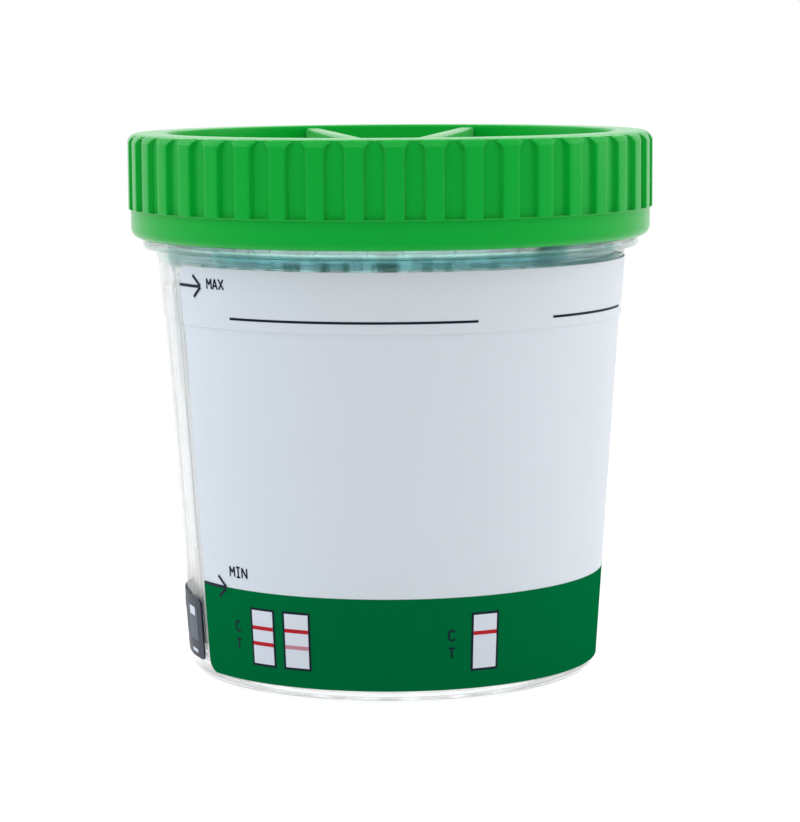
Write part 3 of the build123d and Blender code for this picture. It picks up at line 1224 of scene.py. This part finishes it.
@dataclass
class WrapLabel:
    """The wrap label with its green field, ruled lines, arrows and small pictures."""

    start: float = -61.0
    end: float = 138.0
    low: float = 1.7
    top: float = 61.5
    corner: float = 2.0
    glue: float = 0.1
    sheet: float = 0.15
    ink: float = 0.03
    band_top: float = 15.1
    line_height: float = 54.45
    rule: float = 0.36
    picture_low: float = 4.25
    picture_top: float = 12.75
    picture_radius: float = 31.0
    outline: float = 0.34
    layer: float = 0.02
    line_half: float = 0.28
    clear: float = 0.02
    arrow_stroke: float = 0.42
    letter_stroke: float = 0.26
    letter_step: float = 1.28

    def build(self) -> list[bpy.types.Object]:
        """Makes the label and all its print.

        Returns:
            The label's pieces.
        """
        face = self.glue + self.sheet
        sheet = Patch("label_sheet", self.start, self.end, self.low, self.top, self.glue, self.sheet, LABEL_SHEET,
                      "label_sheet", self.corner, self.corner).build()
        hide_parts("label")
        band = Patch("label_field", self.start, self.end, self.low, self.band_top, face, self.ink, LABEL_GREEN,
                     "print_field", self.corner).build()
        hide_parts("label_band")
        pieces = [sheet, band]
        half = self.rule / 2
        for name, node, start, end in (("name_rule", "name_line", -41.5, 20.7),
                                       ("date_rule", "date_line", 41.7, 76.0)):
            line = Patch(name, start, end, self.line_height - half, self.line_height + half, face, self.ink,
                         PRINT_DARK, "print_dark").build()
            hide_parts(node)
            pieces.append(line)
        pieces += self._arrows(Print(lift=face + self.ink + self.clear))
        pieces += self._pictures(face + self.ink + self.clear)
        pieces += self._words(Print(lift=face + self.clear), Print(lift=face + self.ink + self.clear))
        return pieces

    def _arrows(self, ink: Print) -> list[bpy.types.Object]:
        """The two level arrows near the label's left edge.

        Args:
            ink: The print that makes them.

        Returns:
            The arrows.
        """
        arrows = []
        lines = [((-5.7, 0.0), (0.0, 0.0)), ((0.1, 0.1), (-1.7, 1.55)), ((0.1, -0.1), (-1.7, -1.55))]
        for name, node, angle, height in (("upper_arrow", "max_arrow", -51.6, 58.7),
                                          ("lower_arrow", "min_arrow", -49.9, 15.0)):
            arrow = ink.strokes(name, angle, height, lines, self.arrow_stroke)
            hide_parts(node)
            arrows.append(arrow)
        return arrows

    def _pictures(self, lift: float) -> list[bpy.types.Object]:
        """The three small pictures of a strip on the green field.

        Args:
            lift: How far the field's face stands off the wall.

        Returns:
            The pictures' outlines, faces and lines.
        """
        pieces = []
        pictures = ((-40.8, -32.8, (9.85, 7.55), PRINT_RED), (-30.3, -22.15, (9.95, 7.55), PRINT_PALE_RED),
                    (20.8, 28.7, (9.75,), PRINT_RED))
        margin = math.degrees(self.outline / self.picture_radius)
        for number, (left, right, lines, second) in enumerate(pictures, 1):
            frame = Patch(f"picture_{number}_outline", left, right, self.picture_low, self.picture_top, lift,
                          self.layer, PRINT_DARK, "print_dark").build()
            face = Patch(f"picture_{number}_face", left + margin, right - margin, self.picture_low + self.outline,
                         self.picture_top - self.outline, lift + self.layer, self.layer, PRINT_WHITE,
                         "print_white").build()
            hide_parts(f"pictogram_{number}")
            pieces += [frame, face]
            for place, middle in enumerate(lines):
                finish = second if place else PRINT_RED
                pieces.append(Patch(f"picture_{number}_line_{place + 1}", left + margin, right - margin,
                                    middle - self.line_half, middle + self.line_half, lift + 2 * self.layer,
                                    self.layer, finish, "print_dark").build())
        return pieces

    def _words(self, sheet: Print, field_print: Print) -> list[bpy.types.Object]:
        """Plain level and line marks.

        Args:
            sheet: The print on the bare sheet.
            field_print: The print on the green field.

        Returns:
            The letters.
        """
        words = (("upper_level", sheet, -48.8, 58.5, "MAX"), ("lower_level", sheet, -47.7, 16.85, "MIN"),
                 ("control_mark_1", field_print, -46.6, 8.9, "C"), ("test_mark_1", field_print, -46.6, 6.3, "T"),
                 ("control_mark_2", field_print, 14.6, 8.9, "C"), ("test_mark_2", field_print, 14.6, 6.3, "T"))
        return [ink.strokes(name, angle, height, self._letter_lines(word), self.letter_stroke)
                for name, ink, angle, height, word in words]

    def _letter_lines(self, word: str) -> list[Stroke]:
        """Straight strokes of plain capital letters.

        Args:
            word: A word of the letters that LETTERS holds.

        Returns:
            Start and end of each stroke, in millimetres from the word's lower left corner.
        """
        step = self.letter_step
        return [((x0 + step * place, y0), (x1 + step * place, y1))
                for place, letter in enumerate(word) for (x0, y0), (x1, y1) in LETTERS[letter]]


@dataclass
class TemperatureStrip:
    """The dark adhesive strip beside the label, with its row of dark windows and their pale marks."""

    end: float = -64.7
    span: float = 72.0
    low: float = 2.8
    height: float = 9.1
    thickness: float = 0.25
    lift: float = 0.1
    windows: int = 5
    window_angle: float = 8.0
    window_low: float = 5.4
    window_top: float = 10.4
    mark_angle: float = 5.2
    mark_height: float = 1.3
    mark_lift: float = 0.05
    tick_low: float = 0.7
    tick_top: float = 1.2
    tick_lift: float = 0.02
    ink: float = 0.03
    film_corner: float = 0.8
    window_corner: float = 0.4
    mark_corner: float = 0.2

    def build(self) -> list[bpy.types.Object]:
        """Makes the strip, its windows and their marks.

        Returns:
            The strip's pieces.
        """
        strip = Patch("temperature_film", self.end - self.span, self.end, self.low, self.low + self.height, self.lift,
                      self.thickness, DARK_FILM, "dark_film", self.film_corner, self.film_corner).build()
        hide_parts("temperature_strip")
        pieces = [strip]
        face = self.lift + self.thickness
        for number in range(self.windows):
            middle = self.end - (number + 0.5) * self.span / self.windows
            left, right = middle - self.mark_angle / 2, middle + self.mark_angle / 2
            window = Patch(f"temperature_face_{number + 1}", middle - self.window_angle / 2,
                           middle + self.window_angle / 2, self.window_low, self.window_top, face, self.ink,
                           WINDOW_FILM, "window_film", self.window_corner, self.window_corner).build()
            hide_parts(f"temperature_window_{number + 1}")
            mark = Patch(f"temperature_mark_{number + 1}", left, right, self.window_top - self.mark_height,
                         self.window_top, face + self.mark_lift, self.ink, PRINT_WHITE, "window_film",
                         self.mark_corner, self.mark_corner).build()
            tick = Patch(f"temperature_tick_{number + 1}", left, right, self.low + self.tick_low,
                         self.low + self.tick_top, face + self.tick_lift, self.ink, PRINT_WHITE,
                         "window_film").build()
            pieces += [window, mark, tick]
        return pieces


@dataclass(frozen=True)
class SoftLamp:
    """One soft rectangular lamp aimed at the cup. Its place and size are metres."""

    name: str
    place: Point3
    size: Point2
    watts: float
    colour: Colour = (1, 1, 1)
    aim: Point3 = (0, 0, 0.045)

    def build(self) -> None:
        """Makes the lamp."""
        data = bpy.data.lights.new(self.name, "AREA")
        data.shape = "RECTANGLE"
        data.size, data.size_y = self.size
        data.energy = self.watts
        data.color = self.colour
        lamp = bpy.data.objects.new(self.name, data)
        lamp.location = self.place
        aim = Vector(self.aim) - Vector(self.place)
        lamp.rotation_euler = aim.to_track_quat("-Z", "Y").to_euler()
        bpy.context.scene.collection.objects.link(lamp)


@dataclass
class Studio:
    """White floor and surroundings, soft lamps and the camera at the photograph's angle."""

    focal: float = 3020.9
    distance: float = 450.7
    eye: float = 93.1
    pitch: float = 6.965
    roll: float = 0.384
    centre: float = 391.75
    width: int = 800
    height: int = 822
    sensor: float = 36.0
    bounces: int = 32
    glossy_bounces: int = 12
    transparent_bounces: int = 48
    world_light: float = 0.45
    world_colour: Colour = (0.96, 0.98, 1)
    floor_reach: float = 12.0
    floor_drop: float = 0.0002
    floor_grey: float = 0.9
    floor_roughness: float = 0.9
    floor_glow: float = 1.12
    floor_share: float = 0.85
    lamps: tuple[SoftLamp, ...] = (
        SoftLamp("left lamp", (-0.45, 0.10, 0.30), (0.35, 0.5), 1.0, (0.78, 0.90, 1.0)),
        SoftLamp("right lamp", (0.50, 0.05, 0.28), (0.35, 0.5), 1.0),
        SoftLamp("top lamp", (-0.05, -0.26, 0.55), (0.5, 0.4), 1.05),
        SoftLamp("back lamp", (0.02, 0.40, 0.42), (0.5, 0.3), 1.0),
    )

    def build(self) -> None:
        """Sets the view transform and makes the surroundings."""
        scene = bpy.context.scene
        scene.view_settings.view_transform = "Standard"
        scene.cycles.max_bounces = self.bounces
        scene.cycles.transmission_bounces = self.bounces
        scene.cycles.glossy_bounces = self.glossy_bounces
        scene.cycles.transparent_max_bounces = self.transparent_bounces
        self._camera()
        self._world()
        self._floor()
        for lamp in self.lamps:
            lamp.build()

    def _camera(self) -> None:
        """Makes the scene's camera."""
        data = bpy.data.cameras.new("camera")
        data.sensor_width = self.sensor
        data.lens = self.focal / self.height * data.sensor_width
        data.shift_x = (self.width / 2 - self.centre) / self.height
        data.clip_start = 0.01
        data.clip_end = 100
        camera = bpy.data.objects.new("camera", data)
        camera.matrix_world = (Matrix.Translation((0, -self.distance * MM, self.eye * MM))
                               @ Matrix.Rotation(math.radians(90 - self.pitch), 4, "X")
                               @ Matrix.Rotation(math.radians(-self.roll), 4, "Z"))
        bpy.context.scene.collection.objects.link(camera)
        bpy.context.scene.camera = camera

    def _world(self) -> None:
        """White surroundings, plainer as light than as background."""
        world = bpy.data.worlds.new("surroundings")
        bpy.context.scene.world = world
        world.use_nodes = True
        tree = world.node_tree
        shown = tree.nodes["Background"]
        shown.inputs["Color"].default_value = (1, 1, 1, 1)
        light = tree.nodes.new("ShaderNodeBackground")
        light.inputs["Color"].default_value = (*self.world_colour, 1)
        light.inputs["Strength"].default_value = self.world_light
        mix = tree.nodes.new("ShaderNodeMixShader")
        tree.links.new(seen_share(tree), mix.inputs["Fac"])
        tree.links.new(light.outputs["Background"], mix.inputs[1])
        tree.links.new(shown.outputs["Background"], mix.inputs[2])
        tree.links.new(mix.outputs["Shader"], tree.nodes["World Output"].inputs["Surface"])

    def _floor(self) -> None:
        """Wide white floor that still takes the cup's shadow."""
        mesh = bpy.data.meshes.new("floor")
        reach = self.floor_reach
        corners = [(-reach, -reach, 0), (reach, -reach, 0), (reach, reach, 0), (-reach, reach, 0)]
        mesh.from_pydata(corners, [], [(0, 1, 2, 3)])
        mesh.transform(Matrix.Translation((0, 0, -self.floor_drop)))
        floor = bpy.data.objects.new("floor", mesh)
        bpy.context.scene.collection.objects.link(floor)
        material = bpy.data.materials.new("white_floor")
        material.use_nodes = True
        tree = material.node_tree
        surface = tree.nodes["Principled BSDF"]
        surface.inputs["Base Color"].default_value = (*(self.floor_grey,) * 3, 1)
        surface.inputs["Roughness"].default_value = self.floor_roughness
        surface.inputs["Specular IOR Level"].default_value = 0.0
        glow = tree.nodes.new("ShaderNodeEmission")
        glow.inputs["Strength"].default_value = self.floor_glow
        part = tree.nodes.new("ShaderNodeMath")
        part.operation = "MULTIPLY"
        part.inputs[1].default_value = self.floor_share
        tree.links.new(seen_share(tree), part.inputs[0])
        mix = tree.nodes.new("ShaderNodeMixShader")
        tree.links.new(part.outputs["Value"], mix.inputs["Fac"])
        tree.links.new(surface.outputs["BSDF"], mix.inputs[1])
        tree.links.new(glow.outputs["Emission"], mix.inputs[2])
        tree.links.new(mix.outputs["Shader"], tree.nodes["Material Output"].inputs["Surface"])
        mesh.materials.append(material)


def seen_share(tree: bpy.types.NodeTree) -> bpy.types.NodeSocket:
    """Tells what is seen from what only lights.

    Args:
        tree: The material's or the world's node tree.

    Returns:
        Socket that is 1 for what the camera, a reflection or clear plastic shows, and 0 for plain light.
    """
    path = tree.nodes.new("ShaderNodeLightPath")
    total = path.outputs["Is Camera Ray"]
    for kind in ("Is Glossy Ray", "Is Transmission Ray"):
        add = tree.nodes.new("ShaderNodeMath")
        add.operation = "ADD"
        add.use_clamp = True
        tree.links.new(total, add.inputs[0])
        tree.links.new(path.outputs[kind], add.inputs[1])
        total = add.outputs["Value"]
    return total


def main() -> None:
    """Builds every piece."""
    logging.basicConfig(level=logging.INFO, format="%(message)s")
    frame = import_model()
    pattern = RoundPattern()
    cup = ClearCup()
    pieces = [cup.build()]
    neck = ScrewTooth(cup.neck_radius, cup.thread_start, 1)
    pieces.append(neck.build("neck_thread", CLEAR, "clear_plastic", Body.CUP))
    pieces.append(StripSleeve().build(pattern))
    pieces += ScrewLid().build(pattern)
    pieces += TestStrips().build(frame, pattern)
    pieces += WrapLabel().build()
    pieces += TemperatureStrip().build()
    paint(frame["nodes"]["lid_seal"], SEAL_FOAM)
    for piece in pieces:
        LOG.info("%s: %d faces", piece.name, len(piece.data.polygons))
    Studio().build()


if __name__ == "__main__":
    main()
